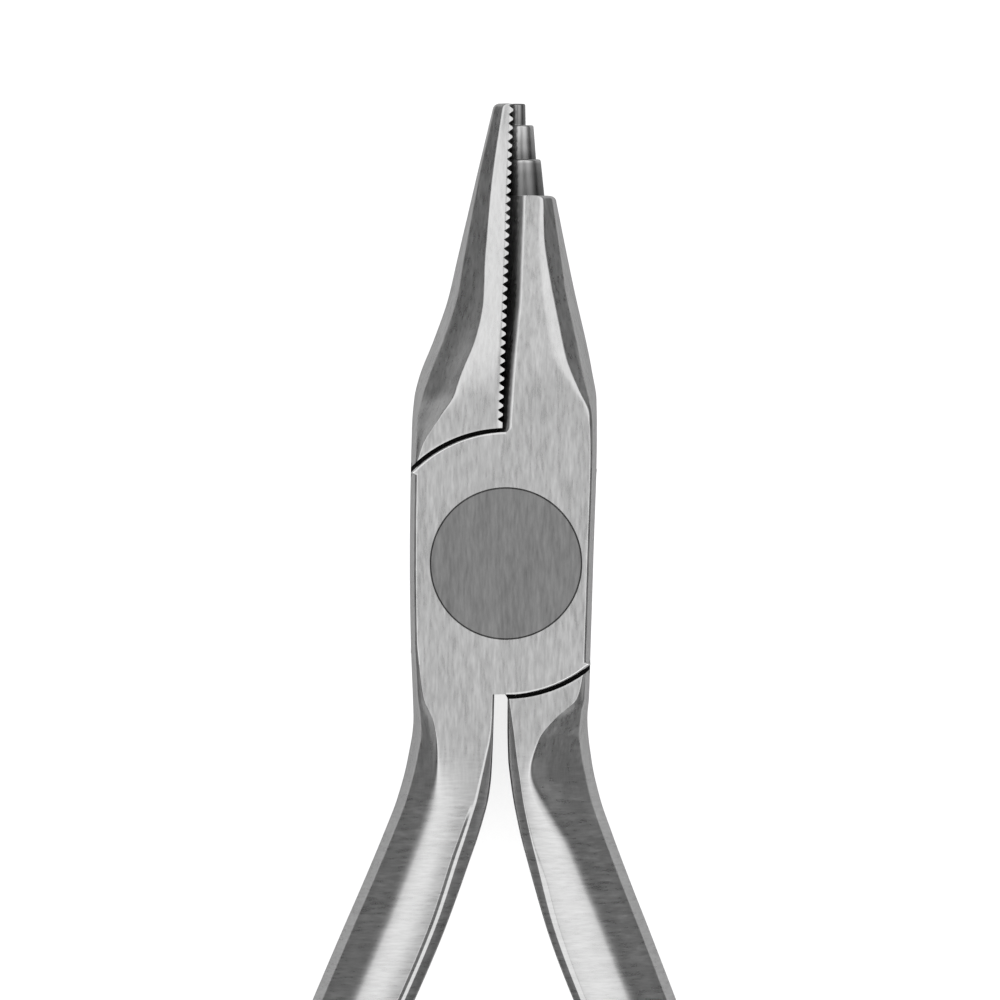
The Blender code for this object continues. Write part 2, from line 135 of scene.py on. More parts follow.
# %% [markdown]
# ## Outline of the handles
# Both handles are the same bow, mirrored about a line that leans a little, as the photographed pair
# does. Each one leaves the joint straight, sweeps out to the palm and draws in at its end.

# %% Handles
HANDLE_REACH = 101.0
HANDLE_END_ROUND = 3.2
PALM_HALF_SPREAD = 23.2
PALM_WIDTH = 6.2
PALM_Y = -75.0
PALM_LOW_Y = -88.0
SLOT_HALF = 0.44
WAIST_HALF = 5.52
END_HALF_SPREAD = 20.8
END_WIDTH = 5.0
CENTRE_SHIFT = -0.14
CENTRE_LEAN = 0.0215
WAIST_SWEEP = ((-9.6, 0.0), (-12.3, 0.33), (-14.8, 0.94), (-16.7, 1.63), (-20.4, 3.1), (-22.9, 4.14))
SLOT_SWEEP = ((-10.4, 0.0), (-12.3, 0.055), (-13.5, 0.155), (-14.8, 0.335), (-16.0, 0.6), (-17.3, 0.94),
              (-18.5, 1.31), (-21.0, 2.09), (-23.2, 2.83))
SLOT_SHIFT = ((-8.5, 0.04), (-11.0, 0.01), (-14.8, 0.13), (-18.5, 0.07), (-23.2, 0.0))
PALM_SWEEP = ((0.44, 0.59, 0.43), (0.6, 0.78, 0.68), (0.76, 0.925, 0.885), (0.88, 0.985, 0.97))
PALM_LOW_SHARES = (0.967, 0.985)


def centre_line(y):
    """The line between the handles, a straight line that leans a little to the left."""
    return CENTRE_SHIFT + CENTRE_LEAN * np.asarray(y)


def handle_outside(side):
    """Points of a handle's outside: waist, sweep, palm swell and drawn-in end."""
    sweep = [(level, WAIST_HALF + growth) for level, growth in WAIST_SWEEP]
    sweep += [(share * PALM_Y, outer * PALM_HALF_SPREAD) for share, outer, _ in PALM_SWEEP]
    sweep += [(PALM_Y, PALM_HALF_SPREAD), (PALM_LOW_Y, PALM_LOW_SHARES[0] * PALM_HALF_SPREAD),
              (-HANDLE_REACH, END_HALF_SPREAD)]
    return [(level, float(centre_line(level)) + side * half) for level, half in sweep]


def handle_inside(side, y):
    """Inside of a handle: straight beside the slot, then a palm's width inside the sweep."""
    palm = PALM_HALF_SPREAD - PALM_WIDTH
    sweep = [(0.0, SLOT_HALF)] + [(level, SLOT_HALF + growth) for level, growth in SLOT_SWEEP]
    sweep += [(share * PALM_Y, inner * palm) for share, _, inner in PALM_SWEEP]
    sweep += [(PALM_Y, palm), (PALM_LOW_Y, PALM_LOW_SHARES[1] * palm),
              (-HANDLE_REACH, END_HALF_SPREAD - END_WIDTH)]
    return through([(level, float(centre_line(level) + through(SLOT_SHIFT, level)) + side * half)
                    for level, half in sweep], y)


print("spread of the handles in mm:", 2 * PALM_HALF_SPREAD)

# %% [markdown]
# ## Silhouettes and depth
# Each silhouette belongs to two pieces. The left one is the serrated jaw above the lap and the front
# lever's handle below it, so the two levers share one function and can't drift apart.

# %% Silhouettes
LEFT_SIDE = ((0.0, 0.0), (-4.8, 0.06))
RIGHT_SIDE = ((0.0, 0.18), (-4.8, 0.33), (-8.5, 0.45))
TIP_HALF_DEPTH = 1.15
BEAK_HALF_DEPTH = 1.8
END_HALF_DEPTH = 3.3


def left_side(y):
    """Left silhouette: flank of the serrated jaw, side of the joint, outside of the left handle."""
    flank = [(level, JOINT_LEFT - inset) for level, inset in (*up_jaw(SERRATED_FLANK), *LEFT_SIDE)]
    handle = [(level, -x) for level, x in handle_outside(-1)]
    return -through([(JAW_REACH, JAW_TIP_LEFT), *flank, *handle], y)


def right_side(y):
    """Right silhouette: flank of the stepped jaw, side of the joint, outside of the right handle."""
    flank = [(level, JOINT_RIGHT - inset) for level, inset in (*up_jaw(STEPPED_FLANK), *RIGHT_SIDE)]
    return through([(BEAK_ROOT_Y, BEAK_ROOT_X), *flank, *handle_outside(1)], y)


def half_depth(y):
    """Half the depth of a lever: full at the joint, thinning along the jaw and the handle."""
    return through([(JAW_REACH, TIP_HALF_DEPTH), (BEAK_ROOT_Y, BEAK_HALF_DEPTH), (JAW_ROOT_Y, MID),
                    (PALM_Y, MID), (-HANDLE_REACH, END_HALF_DEPTH)], y)


print("joint width in mm:", round(float(right_side(0.0) - left_side(0.0)), 2))

# %% [markdown]
# ## Rings with rounded corners
# A lever is a stack of rings, one for each height. A ring starts as a polygon of flats: front, bevel,
# narrow side strip and their twins behind. A Bevel modifier would round all its edges alike, but here
# some are nearly sharp and others roll softly, so each corner gets a radius of its own and is swapped
# for a short parabola. Corners on a rounded stretch use half of each side, which makes the whole
# stretch one smooth curve.

# %% Rings from polygons
def rounded(corners, radius, samples=5):
    """Quadratic Bezier at each corner of closed polygons, given as (rings, corners, 2) arrays.
    The end points lie on the polygon's sides, at the radius or at half the side if that is less."""
    before = np.roll(corners, 1, axis=1) - corners
    after = np.roll(corners, -1, axis=1) - corners
    length_before = np.linalg.norm(before, axis=2, keepdims=True)
    length_after = np.linalg.norm(after, axis=2, keepdims=True)
    reach = radius[:, :, None]
    start = corners + before / length_before * np.minimum(reach, 0.5 * length_before)
    end = corners + after / length_after * np.minimum(reach, 0.5 * length_after)
    t = (np.linspace(0.0, 1.0, samples))[None, None, :, None]
    pull = 2 * t * (1 - t) * corners[:, :, None]
    curve = (1 - t) ** 2 * start[:, :, None] + pull + t ** 2 * end[:, :, None]
    return curve.reshape(len(corners), -1, 2)


# %% [markdown]
# ## Skins
# Rings become a mesh by joining each point to its neighbours along and across. The ends are closed
# with one face each, because a fan of thin triangles at a jagged end confuses the Booleans below.

# %% Meshes from arrays
def mesh_object(name, points, faces):
    """A mesh object from an array of points in millimetres and a list of faces."""
    mesh = bpy.data.meshes.new(name)
    mesh.from_pydata((points * MM).tolist(), [], faces)
    mesh.update()
    made = bpy.data.objects.new(name, mesh)
    bpy.context.scene.collection.objects.link(made)
    return made


def skin(name, rings):
    """Closed skin over an array of rings (rings, points, 3): quads between them, one face each end."""
    count, around = rings.shape[:2]
    ring, i = np.meshgrid(np.arange(count - 1), np.arange(around), indexing="ij")
    j = (i + 1) % around
    quads = np.stack([ring * around + i, ring * around + j, (ring + 1) * around + j,
                      (ring + 1) * around + i], axis=-1).reshape(-1, 4)
    first = np.arange(around)[::-1]
    last = np.arange(around) + (count - 1) * around
    return mesh_object(name, rings.reshape(-1, 3), [*quads.tolist(), first.tolist(), last.tolist()])


# %% [markdown]
# ## Section of a forging
# A broad face is not quite flat. On the jaw it leans a little outwards, and on the handle it is a low
# crown, because a hand grips it. Steel shows tilts of a few degrees as whole changes of tone, so
# these slight slopes draw the long bright bands. Six corners run down each half of a side and four
# more cross each broad face.

# %% Rings of a lever
SMOOTH = 9.0
CROWN_SLOPE = 0.32
CROWN_START = 0.4
CROWN_GROWTH = ((-10.5, 0.0), (-14.0, 0.5), (-19.0, 1.0))
JAW_LEAN = 0.24
LEAN_GROWTH = ((8.5, 0.0), (13.0, 1.0), (20.0, 0.9), (24.0, 0.55), (28.0, 0.1))
CAP_SHARES = (0.0, 0.2, 0.4, 0.6, 0.8, 1.0)
LEAST_END = 0.02


def cap_drop(y, inside, width, lean):
    """Drop of the broad face at a share of its width from the lever's inside: a parabola that
    reaches the crown's slope at the outside on a handle, a straight lean outwards on a jaw. The
    crown of the lever with a leaning jaw starts off tilted, so part of its fall is linear."""
    start = CROWN_START if lean else 0.0
    fall = CROWN_SLOPE * through(CROWN_GROWTH, y) * width * (start * inside + (1 - start) / 2 * inside ** 2)
    return fall + lean * through(LEAN_GROWTH, y) * (1 - inside)


def end_scale(y):
    """Share of its section that a handle keeps as its end rounds off, a quarter ellipse."""
    into = np.clip((HANDLE_END_ROUND - (HANDLE_REACH + y)) / HANDLE_END_ROUND, 0.0, 1.0)
    return np.sqrt(np.maximum(1.0 - into ** 2, LEAST_END))


def half_ring(y, left, right, left_wall, right_wall, side, lean):
    """Corners of the front half of the rings, from the left side over the broad face to the right."""
    depth = half_depth(y)
    start, end = left + left_wall[:, 0, 0], right - right_wall[:, 0, 0]
    level = [depth - cap_drop(y, 1 - t if side < 0 else t, end - start, lean) for t in CAP_SHARES]
    cap = [np.stack([start + (end - start) * t, z, SMOOTH + 0 * y], axis=1)
           for t, z in zip(CAP_SHARES, level)]
    left_part = np.stack([left[:, None] + left_wall[..., 0], left_wall[..., 1] * level[0][:, None],
                          left_wall[..., 2]], axis=-1)
    right_part = np.stack([right[:, None] - right_wall[..., 0], right_wall[..., 1] * level[-1][:, None],
                           right_wall[..., 2]], axis=-1)
    return np.concatenate([left_part[:, ::-1], np.stack(cap[1:-1], axis=1), right_part], axis=1)


def ring_points(y, left, right, left_walls, right_walls, side, lean):
    """Rings at the heights y. A wall is an array (rings, 6, 3) of insets, heights as shares of the
    broad face's edge, and roundings, from the broad face down to the middle. The walls are given
    for the front and the back. The side is that of the handle, -1 for left and 1 for right, and
    the jaw leans on the other side."""
    front, back = [half_ring(y, left, right, *walls, side, lean) for walls in zip(left_walls, right_walls)]
    back = back * (1.0, -1.0, 1.0)
    corners = np.concatenate([front, back[:, -2:0:-1]], axis=1)
    curve = rounded(corners[..., :2], corners[..., 2])
    grow = end_scale(y)[:, None]
    centre = ((left + right) / 2)[:, None]
    x = centre + (curve[..., 0] - centre) * grow
    return np.stack([x, np.broadcast_to(y[:, None], x.shape), MID + curve[..., 1] * grow], axis=-1)


# %% [markdown]
# ## Outer sides
# The bevel widens from the tip to the waist of each jaw and dies out at the lap. Below the lap the
# plate's own side keeps a plain bevel, while the side with the sawn shoulder is scooped out. Between
# flat and bevel lies a narrow shallow roll, which every polished edge has: too slight to be seen as a
# shape, but it tilts the steel enough to draw a bright line. A table holds each width, so the line
# swells and fades where it does on the real one.

# %% Walls outside
BEVEL_SLOPE = 0.9
JAW_ROLL_SLOPE = 0.19
SHARP = 0.06
STRIP_ROUND = 0.14
HANDLE_SOFT = (0.08, 0.4)
STRIP_SHARE = 0.67
HOLLOW_SHARE = 0.57
SERRATED_FACET = ((1.0, 0.58), (0.9, 0.75), (0.78, 0.98), (0.53, 1.7), (0.205, 2.7), (0.077, 2.6),
                  (-0.005, 1.8), (-0.107, 0.7))
SERRATED_ROLL = ((8.6, 0.02), (12.0, 0.3), (17.0, 0.25), (27.0, 0.12))
STEPPED_FACET = ((0.7, 0.8), (0.527, 1.35), (0.368, 1.5), (0.205, 1.6), (0.082, 1.15), (0.0, 0.55))
STEPPED_ROLL = ((8.4, 0.02), (9.4, 0.14), (11.0, 0.3), (13.3, 0.75), (16.5, 0.62), (20.0, 0.35), (24.0, 0.15))
JAW_STRIP = ((1.0, 0.03), (0.8, 0.09), (0.69, 0.2), (0.5, 0.42), (0.368, 0.6), (0.138, 0.65), (-0.015, 0.3))
PLATE_FACET = ((-5.0, 0.45), (-8.3, 0.7), (-9.8, 1.3), (-12.3, 1.95), (-15.0, 2.25), (-22.5, 2.6))
PLATE_SLOPE = ((-8.5, 0.9), (-20.0, 0.9))
SCOOP_FACET = ((-6.6, 0.45), (-8.4, 0.8), (-9.8, 2.2), (-11.0, 3.2), (-13.4, 4.0), (-15.5, 3.5),
               (-18.0, 3.0), (-22.5, 2.9))
SCOOP_SLOPE = ((-8.5, 0.62), (-9.8, 0.58), (-11.2, 0.7), (-13.4, 0.88), (-20.0, 0.9))
HANDLE_STRIP = ((-8.5, 0.3), (-11.0, 0.62))
HANDLE_ROLL = ((-10.5, 0.02), (-12.5, 0.1), (-15.0, 0.5))
ROLL_SLOPE = ((-8.5, 0.34), (-12.5, 0.36), (-16.0, 0.42))
PLATE, SCOOP = (PLATE_FACET, PLATE_SLOPE), (SCOOP_FACET, SCOOP_SLOPE)


def wall(y, insets, heights, radii):
    """Array (rings, 6, 3) of a wall's corners, from functions or plain numbers."""
    columns = [np.broadcast_to(value, y.shape) for value in (*insets, *heights, *radii)]
    return np.stack(columns, axis=1).reshape(len(y), 3, 6).transpose(0, 2, 1)


def outer_wall(y, facet, strip, roll, roll_slope, soft=SHARP, bevel=BEVEL_SLOPE):
    """Outer side: the roll beside the flat, a bevel that is a little hollow, then the side strip."""
    height = 1.0 - bevel * (facet - strip) / half_depth(y)
    edge = 1.0 - roll * roll_slope / half_depth(y)
    hollow = HOLLOW_SHARE * facet + (1 - HOLLOW_SHARE) * strip
    return wall(y, (facet + roll, facet, hollow, strip, 0.5 * strip, 0.0),
                (1.0, edge, 0.5 + 0.5 * height, height, 0.5 * height, 0.0),
                (SMOOTH, soft, SMOOTH, STRIP_ROUND, SMOOTH, SMOOTH))


def jaw_wall(y, facet_table, roll_table):
    """Outer side of a jaw, down to the chamfer beside the joint."""
    chamfer = [(SIDE_CHAMFER_TOP, SIDE_CHAMFER), (SIDE_CHAMFER_LOW, SIDE_CHAMFER)]
    facet = through([*up_jaw(facet_table), *chamfer], y)
    strip = np.minimum(through(up_jaw(JAW_STRIP), y), STRIP_SHARE * facet)
    return outer_wall(y, facet, strip, through(roll_table, y), JAW_ROLL_SLOPE)


def handle_wall(y, facet_table, slope_table):
    """Outer side of a handle, from the chamfer beside the joint to the palm."""
    soft = HANDLE_SOFT[0] + HANDLE_SOFT[1] * through(CROWN_GROWTH, y)
    return outer_wall(y, through(facet_table, y), through(HANDLE_STRIP, y), through(HANDLE_ROLL, y),
                      through(ROLL_SLOPE, y), soft, through(slope_table, y))


# %% [markdown]
# ## Inner sides
# The inside of a handle has a bevel too, and along its upper edge runs a thin polished rim that shows
# as a white line. The lap's shoulder is sawn square. The toothed jaw starts as a blank block, because
# the teeth are cut later, and the beak's working side is half round, so that wire slides over it.

# %% Walls inside
INSIDE_SLOPE = 0.76
INSIDE_FOOT = 0.1
RIM_SLOPE = 0.2
RUB = 0.34
EDGE_FALL = 0.03
SHOULDER_RUB = (0.24, 0.05, 0.19)
TOOTH_RUB = (0.28, -0.12, 0.4)
BEAK_RUB = (0.12, -0.3, 0.12)
BEAK_TURN = 0.2
BROAD_INSIDE = ((-9.5, 0.12), (-10.8, 0.18), (-12.3, 0.42), (-14.2, 0.68), (-17.0, 0.8), (-22.0, 0.68))
BROAD_RIM = ((-9.5, 0.03), (-12.0, 0.11), (-15.0, 0.16), (-18.0, 0.22))
BROAD_ROLL = ((-15.0, 0.0), (-16.2, 0.7))
NARROW_INSIDE = ((-8.6, 0.12), (-11.0, 0.45), (-13.5, 0.62), (-17.0, 0.62), (-22.0, 0.5))
NARROW_RIM = ((-13.0, 0.02), (-16.5, 0.05), (-20.0, 0.17))
NARROW_ROLL = ((-18.0, 0.0), (-20.0, 0.25))
BROAD, NARROW = (BROAD_INSIDE, BROAD_RIM, BROAD_ROLL), (NARROW_INSIDE, NARROW_RIM, NARROW_ROLL)
TOOTH_DEPTH = 0.32


def inside_wall(y, facet_table, rim_table, roll_table):
    """Inside of a handle: the crown drops beside a thin rim, then comes the bevel to the slot."""
    depth, facet, rim = half_depth(y), through(facet_table, y), through(rim_table, y)
    drop = rim * through(roll_table, y)
    height = 1.0 - (drop + INSIDE_SLOPE * (1 - INSIDE_FOOT) * facet) / depth
    return wall(y, (facet + 2.0 * rim, facet + rim, facet, INSIDE_FOOT * facet, 0.03 * facet, 0.0),
                (1.0, 1.0 - drop / depth, 1.0 - (drop + RIM_SLOPE * rim) / depth, height, 0.5 * height, 0.0),
                (0.03, 0.02, 0.03, 0.1, SMOOTH, SMOOTH))


def shoulder_wall(y):
    """Sawn shoulder: a rub along its edge, then square to the broad faces."""
    start, end, slope = SHOULDER_RUB
    edge = 1.0 - slope * RUB / half_depth(y)
    return wall(y, (start, end, 0.0, 0.0, 0.0, 0.0), (1.0, edge, edge - EDGE_FALL, 0.7, 0.35, 0.0),
                (0.08, 0.05, 0.05, SMOOTH, SMOOTH, SMOOTH))


def toothed_wall(y):
    """Blank for the teeth: a rub that reaches well behind the crests."""
    start, end, slope = TOOTH_RUB
    edge = 1.0 - slope * RUB / half_depth(y)
    return wall(y, (TOOTH_DEPTH + start, TOOTH_DEPTH + end, 0.0, 0.0, 0.0, 0.0),
                (1.0, edge, edge - EDGE_FALL, 0.7, 0.35, 0.0),
                (SMOOTH, 0.03, 0.03, SMOOTH, SMOOTH, SMOOTH))


def round_wall(y, bulge):
    """Half-round working side: a rub, a quick turn and an inset that grows with the height squared."""
    start, turn, slope = BEAK_RUB
    edge, turned_edge = [1.0 - drop / half_depth(y) for drop in (slope * RUB, slope * RUB + BEAK_TURN)]
    return wall(y, (bulge + start, bulge, bulge + turn, 0.35 * bulge, 0.1 * bulge, 0.0),
                (1.0, edge, turned_edge, 0.62, 0.3, 0.0),
                (0.05, 0.06, SMOOTH, SMOOTH, SMOOTH, SMOOTH))


def pick(choice, first, second):
    """Take each ring's wall from the first where the choice holds and from the second elsewhere."""
    return np.where(choice[:, None, None], first, second)


# %% [markdown]
# ## Heights of the rings
# A ring costs a hundred and fifty points, so rings stand close together only where something turns:
# at the rounded tip, along the sweep of the handle, and where the lap's arc crosses the lever. The
# arc is followed at even angles, which gives it a smooth edge however steep it gets.

# %% Stations
JOINT_HALF = 5.2
SWEEP_TOP = -8.5
SWEEP_END = -26.0
PALM_TOP = -26.6
PALM_END = -97.6


def stations(top, arcs):
    """Even steps on the jaw and the handle, and even angles on the corner and the lap's arcs."""
    tip = top - JAW_CORNER * (1 - np.cos(np.linspace(0.0, 1.0, 9) * math.pi / 2))
    jaw = np.linspace(top - JAW_CORNER, POCKET_RADIUS + 0.05, 100)
    joint = np.linspace(JOINT_HALF, -JOINT_HALF, 30)
    sweep = np.linspace(SWEEP_TOP, SWEEP_END, 90)
    palm = np.linspace(PALM_TOP, PALM_END, 118)
    end = -HANDLE_REACH + HANDLE_END_ROUND * (1 - np.sin(np.linspace(0.05, 1.0, 14) * math.pi / 2))
    return np.unique(np.round(np.concatenate([tip, jaw, joint, sweep, palm, end, *arcs]), 4))[::-1]


def arc_heights(start_x, end_x):
    """Heights of points at even angles on the plate's arc."""
    angles = np.linspace(math.asin(start_x / PLATE_RADIUS), math.asin(end_x / PLATE_RADIUS), 40)
    return PLATE_RADIUS * np.cos(angles)


def arc_x(y):
    """Distance of the plate's arc from the midline."""
    return np.sqrt(np.maximum(PLATE_RADIUS ** 2 - y * y, 0.0))


# %% [markdown]
# ## The front lever
# This forging is the stepped jaw, the plate with the pin's head and the left handle. It could be
# modelled as separate blocks and joined, but the real one is a single bar, so it is one skin from
# tip to handle. Where the other lever's jaw stands, the edge follows the plate's arc, and in the
# crotch beside the teeth it turns with a small fillet.

# %% Skin of the front lever
FACE_HOLLOW = 0.42
JAW_GAP = 0.1
NEST = FACE_HOLLOW - JAW_GAP
BEAK_SETBACK = 0.76
CROTCH_SETBACK = 0.42
CROTCH_FILLET = 0.4
SETBACK = ((0.368, 1.0), (0.24, 0.57), (0.115, 0.24), (-0.03, 0.0))


def front_rings():
    """Stepped jaw on the right above the lap, plate across it, left handle below it."""
    slot = -float(handle_inside(-1, -PLATE_RADIUS))
    arcs = arc_heights(0.05, JOINT_LEFT), -arc_heights(slot, JOINT_RIGHT - 0.3)
    fillet = arcs[0][0] + np.linspace(0.001, CROTCH_FILLET, 10) ** 2 / CROTCH_FILLET
    y = stations(BEAK_ROOT_Y, (*arcs, fillet))
    jaw, handle = y > arcs[0][0], y < arcs[1][0]
    left_arc = ~jaw & (y > 0) & (-left_side(y) > arc_x(y))
    right_arc = ~handle & (y < 0) & (right_side(y) > arc_x(y))
    left = np.where(jaw, face_x(y) - NEST, np.where(left_arc, -arc_x(y), left_side(y)))
    right = np.where(handle, handle_inside(-1, y),
                     np.where(right_arc, arc_x(y), right_side(y) - corner(y, BEAK_ROOT_Y)))
    bulge = NEST + CROTCH_SETBACK + (BEAK_SETBACK - CROTCH_SETBACK) * through(up_jaw(SETBACK), y)
    short = np.clip(CROTCH_FILLET - (y - arcs[0][0]), 0.0, CROTCH_FILLET)
    bulge = bulge - CROTCH_FILLET + np.sqrt(CROTCH_FILLET ** 2 - short ** 2)
    above = pick(jaw, round_wall(y, bulge), shoulder_wall(y))
    below = pick(right_arc, shoulder_wall(y), jaw_wall(y, STEPPED_FACET, STEPPED_ROLL))
    left_walls = [pick(jaw | left_arc, above, handle_wall(y, *tables)) for tables in (PLATE, SCOOP)]
    right_walls = [pick(handle, inside_wall(y, *tables), below) for tables in (BROAD, NARROW)]
    return ring_points(y, left, right, left_walls, right_walls, -1, 0.0)


front = skin("front_forging", front_rings())
print("front lever skin:", len(front.data.polygons), "faces")

# %% [markdown]
# ## The rear lever
# Its twin is the serrated jaw and the right handle, and it crosses behind. It uses the same walls
# with front and back exchanged, because what is a plain bevel on one side of the lap is a scoop on
# the other. The jaw's inner side is left a tooth's depth too wide, for the comb to cut.

# %% Skin of the rear lever
def rear_rings():
    """Serrated jaw on the left above the lap, plate across it, right handle below it."""
    arcs = arc_heights(0.05, JOINT_RIGHT), -arc_heights(0.05, JOINT_LEFT - 0.1)
    y = stations(JAW_REACH, arcs)
    jaw, handle = y > arcs[0][0], y < arcs[1][0]
    right_arc = ~jaw & (y > 0) & (right_side(y) > arc_x(y))
    left_arc = ~handle & (y < 0) & (-left_side(y) > arc_x(y))
    right = np.where(jaw, face_x(y) + TOOTH_DEPTH, np.where(right_arc, arc_x(y), right_side(y)))
    left = np.where(handle, handle_inside(1, y),
                    np.where(left_arc, -arc_x(y), left_side(y) + corner(y, JAW_REACH)))
    above = pick(jaw, toothed_wall(y), shoulder_wall(y))
    below = pick(left_arc, shoulder_wall(y), jaw_wall(y, SERRATED_FACET, SERRATED_ROLL))
    left_walls = [pick(handle, inside_wall(y, *tables), below) for tables in (NARROW, BROAD)]
    right_walls = [pick(jaw | right_arc, above, handle_wall(y, *tables)) for tables in (SCOOP, PLATE)]
    return ring_points(y, left, right, left_walls, right_walls, 1, JAW_LEAN)


rear = skin("rear_forging", rear_rings())
print("rear lever skin:", len(rear.data.polygons), "faces")

# %% [markdown]
# ## Turned tools
# The lap pocket, the bore and the head's seat are all concentric with the pivot, so one profile
# turned about that axis cuts them in a single pass, as a lathe tool would. Each lever gets a tool of
# its own, which widens a little where it leaves the steel, so that the edge is broken.

# %% Surfaces of revolution
def turned(name, profile, steps=192):
    """Points (radius cos a, radius sin a, height) of a profile, from its top to its bottom."""
    profile = np.array(profile, float)
    angle = np.linspace(0.0, 2 * math.pi, steps, endpoint=False)
    radius, height = profile[:, :1], profile[:, 1:]
    rings = np.stack([radius * np.cos(angle), radius * np.sin(angle), height + 0 * angle], axis=-1)
    return skin(name, rings)


# %% Tools for the lap
HEAD_DIAMETER = 9.42
HEAD_DEPTH = 1.8
SHANK_DIAMETER = 6.0
RIVET_DIAMETER = 7.2
RIVET_DEPTH = 0.8
PIN_CLEARANCE = 0.06
BORE = SHANK_DIAMETER / 2 + PIN_CLEARANCE
SEAT = HEAD_DIAMETER / 2 + PIN_CLEARANCE
SINK = RIVET_DIAMETER / 2 + PIN_CLEARANCE
SEAT_FLOOR = JOINT_DEPTH - HEAD_DEPTH - PIN_CLEARANCE
BEYOND = 1.0
MOUTH = POCKET_RADIUS + 0.16
front_lap = turned("front_lap", [
    (SEAT, JOINT_DEPTH + BEYOND), (SEAT, SEAT_FLOOR), (BORE, SEAT_FLOOR), (BORE, MID + LAP_GAP / 2),
    (POCKET_RADIUS, MID + LAP_GAP / 2), (POCKET_RADIUS, 0.03), (MOUTH, -0.01), (MOUTH, -BEYOND)])
rear_lap = turned("rear_lap", [
    (MOUTH, JOINT_DEPTH + BEYOND), (MOUTH, JOINT_DEPTH + 0.01),
    (POCKET_RADIUS, JOINT_DEPTH - 0.03), (POCKET_RADIUS, MID - LAP_GAP / 2), (BORE, MID - LAP_GAP / 2),
    (BORE, RIVET_DEPTH), (SINK + (SINK - BORE) * BEYOND / RIVET_DEPTH, -BEYOND)])
print("bore and seat in mm:", round(2 * BORE, 2), round(2 * SEAT, 2))

# %% [markdown]
# ## The pin
# Seen from the front the pin is only a disc, but it is a real rivet: a broad head in its seat, a
# shank through both levers, and a tail spread into a cone. It is turned from one profile, with a
# hair of an edge break on its head that shows as a thin dark ring.

# %% Riveted pin
HEAD = HEAD_DIAMETER / 2 + 0.04
pin = turned("riveted_pin", [
    (HEAD - 0.08, JOINT_DEPTH), (HEAD, JOINT_DEPTH - 0.07), (HEAD, JOINT_DEPTH - HEAD_DEPTH),
    (SHANK_DIAMETER / 2, JOINT_DEPTH - HEAD_DEPTH), (SHANK_DIAMETER / 2, RIVET_DEPTH),
    (RIVET_DIAMETER / 2, 0.0)])
print("pin:", len(pin.data.polygons), "faces")

# %% [markdown]
# ## Teeth
# The serrations are a row of even grooves across the flat jaw. An Array of wedges would cut them one
# by one and leave slivers between, so one comb with a zigzag edge cuts them all at once. Its face
# also bulges to the left, which hollows the jaw for the round beak.

# %% Comb for the serrations
TOOTH_PITCH = 0.5625
CREST_FLAT = 0.06
VALLEY_FLAT = 0.03
HOLLOW_OVERRUN = 0.06


def tooth_comb():
    """Zigzag with blunt crests and valleys, half a pitch apart, set in by a parabola across the jaw."""
    foot = (PLATE_RADIUS + POCKET_RADIUS) / 2
    count = int((JAW_REACH - foot) / TOOTH_PITCH)
    crest_y = JAW_REACH + TOOTH_PITCH * (0.25 - np.arange(count, -3, -1))
    blunt = np.array([-CREST_FLAT, CREST_FLAT, TOOTH_PITCH / 2 - VALLEY_FLAT, TOOTH_PITCH / 2 + VALLEY_FLAT])
    y = np.concatenate([[foot], (crest_y[:, None] + blunt).reshape(-1)])
    cut = np.concatenate([[0.0], np.tile([0.0, 0.0, TOOTH_DEPTH, TOOTH_DEPTH], len(crest_y))])
    half = half_depth(y)
    share = np.array([-0.9, -0.75, -0.5, -0.25, 0.0, 0.25, 0.5, 0.75, 0.9])
    z = np.column_stack([0 * y - MID - BEYOND, -half - 0.01, -half + 0.05, half[:, None] * share,
                         half - 0.05, half + 0.01, 0 * y + MID + BEYOND])
    hollow = FACE_HOLLOW * np.maximum(1 - (z / (half[:, None] + HOLLOW_OVERRUN)) ** 2, 0.0)
    x = (face_x(y) - cut)[:, None] - hollow
    levels = np.linspace(MID + BEYOND, -MID - BEYOND, 6)
    x = np.concatenate([x, np.full((len(y), 6), FACE_TIP_X + BEYOND)], axis=1)
    z = np.concatenate([z, np.broadcast_to(levels, (len(y), 6))], axis=1)
    print("teeth on the jaw:", count)
    return skin("tooth_comb", np.stack([x, np.broadcast_to(y[:, None], x.shape), MID + z], axis=-1))


comb = tooth_comb()

# %% [markdown]
# ## Steps of the beak
# Wire is bent round the steps, each of which gives a loop of another size. They are tapered rods, and
# each is laid along the serrated face, so they share a working line instead of an axis.

# %% Stepped rods
EDGE_BREAK = 0.12
STEP_DIAMETERS = ((2.4, 2.08), (1.79, 1.55), (1.06, 0.99))
STEP_SUNK = 0.4


def beak_step(name, low, length, diameters):
    """Tapered rod: rings from its sunk foot to its top, whose edge is broken by a quarter round."""
    lower, upper = diameters
    taper = (upper - lower) / length
    turn = np.linspace(0.0, math.pi / 2, 5)
    y = np.concatenate([[low - STEP_SUNK, low], low + length - EDGE_BREAK * (1 - np.sin(turn))])
    full = (lower + taper * (y - low)) / 2
    radius = full - np.concatenate([[0.0, 0.0], EDGE_BREAK * (1 - np.cos(turn))])
    centre = face_x(y) - NEST + full
    angle = np.linspace(0.0, 2 * math.pi, 72, endpoint=False)
    x = centre[:, None] + radius[:, None] * np.cos(angle)
    z = MID + radius[:, None] * np.sin(angle)
    return skin(name, np.stack([x, y[:, None] + 0 * x, z], axis=-1))


steps = []
foot_y = BEAK_ROOT_Y
for number, (length, diameters) in enumerate(zip(STEP_LENGTHS, STEP_DIAMETERS)):
    steps.append(beak_step(f"step_{number}", foot_y, length, diameters))
    foot_y += length
print("tip of the last step in mm:", round(foot_y, 2))

